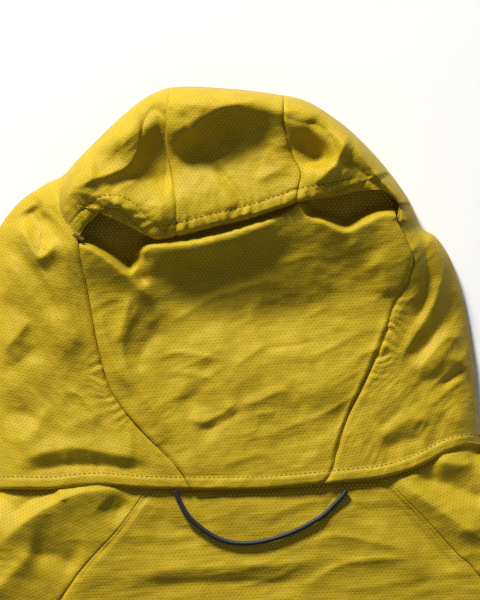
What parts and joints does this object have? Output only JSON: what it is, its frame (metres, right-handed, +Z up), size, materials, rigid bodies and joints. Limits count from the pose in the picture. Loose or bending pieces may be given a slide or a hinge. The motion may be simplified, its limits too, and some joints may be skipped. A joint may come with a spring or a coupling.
{
  "type": "hardshell jacket",
  "caption": "Hooded raglan shell jacket lying face down, with a rear hood slit, a full front zip, zipped hand pockets, cuff tabs and a hem drawcord.",
  "frame": {"origin": "centre of the bounding box's footprint, on the surface that the jacket lies on", "axes": "+X to the right seen from above, +Y from hem to hood along the back, +Z up, out of the jacket's outside back"},
  "size_m": [0.8712, 0.865, 0.0459],
  "materials": {
    "shell": "matt",
    "lining": "matt",
    "cord": "matt",
    "tape": "matt",
    "chain": "satin",
    "metal": "satin",
    "plastic": "satin"
  },
  "bodies": {
    "shell": {"back_panel": "shell", "front_panel_left": "shell", "front_panel_right": "shell", "sleeve_left": "shell", "sleeve_right": "shell", "hang_loop": "cord", "hem_band_back": "shell", "hem_band_front_left": "shell", "hem_band_front_right": "shell", "hem_casing": "lining", "hem_drawcord": "cord", "cord_lock_body_left": "plastic", "cord_lock_body_right": "plastic", "cuff_band_left": "shell", "cuff_band_right": "shell", "cuff_patch_left": "lining", "cuff_patch_right": "lining", "main_zip_tape_left": "tape", "main_zip_teeth_left": "chain", "main_zip_tape_right": "tape", "main_zip_teeth_right": "chain", "main_zip_box": "metal", "storm_flap": "lining", "pocket_zip_tape_left": "tape", "pocket_zip_chain_left": "chain", "pocket_bag_left": "lining", "pocket_zip_tape_right": "tape", "pocket_zip_chain_right": "chain", "pocket_bag_right": "lining"},
    "hood": {"hood_side_left": "shell", "hood_side_right": "shell", "hood_lower_back": "shell", "hood_centre_strip": "shell", "slit_elastic_channel": "shell", "face_binding": "shell", "neck_tape": "tape", "slit_bartack_left": "lining", "slit_bartack_right": "lining", "collar_zip_tape_left": "tape", "collar_zip_teeth_left": "chain", "collar_zip_tape_right": "tape", "collar_zip_teeth_right": "chain"},
    "main_zip_slider": {"main_zip_slider": "metal"},
    "main_zip_pull": {"main_zip_pull": "metal"},
    "pocket_zip_slider_left": {"pocket_zip_slider_left": "metal"},
    "pocket_zip_pull_left": {"pocket_zip_pull_left": "metal"},
    "pocket_zip_slider_right": {"pocket_zip_slider_right": "metal"},
    "pocket_zip_pull_right": {"pocket_zip_pull_right": "metal"},
    "cord_lock_button_left": {"cord_lock_button_left": "plastic"},
    "cord_lock_button_right": {"cord_lock_button_right": "plastic"},
    "cuff_tab_left": {"cuff_tab_left": "shell"},
    "cuff_tab_right": {"cuff_tab_right": "shell"}
  },
  "joints": [
    {"name": "hood_fold", "type": "hinge", "parent": "shell", "child": "hood", "pos_m": [0, 0.2235, 0.0221], "axis": [1, 0, 0], "range_deg": [0, 90]},
    {"name": "main_zip_slider_run", "type": "slide", "parent": "shell", "child": "main_zip_slider", "axis": [0, -1, 0], "range_m": [0, 0.629]},
    {"name": "main_zip_pull_swing", "type": "hinge", "parent": "main_zip_slider", "child": "main_zip_pull", "pos_m": [0, 0.2135, 0.00143], "axis": [1, 0, 0], "range_deg": [0, 140]},
    {"name": "pocket_zip_slider_left_run", "type": "slide", "parent": "shell", "child": "pocket_zip_slider_left", "axis": [0, -1, 0], "range_m": [0, 0.136]},
    {"name": "pocket_zip_pull_left_swing", "type": "hinge", "parent": "pocket_zip_slider_left", "child": "pocket_zip_pull_left", "pos_m": [-0.15, -0.1175, 0.00143], "axis": [1, 0, 0], "range_deg": [0, 140]},
    {"name": "pocket_zip_slider_right_run", "type": "slide", "parent": "shell", "child": "pocket_zip_slider_right", "axis": [0, -1, 0], "range_m": [0, 0.136]},
    {"name": "pocket_zip_pull_right_swing", "type": "hinge", "parent": "pocket_zip_slider_right", "child": "pocket_zip_pull_right", "pos_m": [0.15, -0.1175, 0.00143], "axis": [1, 0, 0], "range_deg": [0, 140]},
    {"name": "cord_lock_button_left_press", "type": "slide", "parent": "shell", "child": "cord_lock_button_left", "axis": [0, -1, 0], "range_m": [0, 0.0025], "stiffness_N_per_m": 400},
    {"name": "cord_lock_button_right_press", "type": "slide", "parent": "shell", "child": "cord_lock_button_right", "axis": [0, -1, 0], "range_m": [0, 0.0025], "stiffness_N_per_m": 400},
    {"name": "cuff_tab_left_peel", "type": "hinge", "parent": "shell", "child": "cuff_tab_left", "pos_m": [-0.36113, -0.39387, 0.0166], "axis": [0.3489, 0.9371, 0], "range_deg": [0, 100]},
    {"name": "cuff_tab_right_peel", "type": "hinge", "parent": "shell", "child": "cuff_tab_right", "pos_m": [0.36113, -0.39387, 0.0166], "axis": [0.3489, -0.9371, 0], "range_deg": [0, 100]}
  ]
}
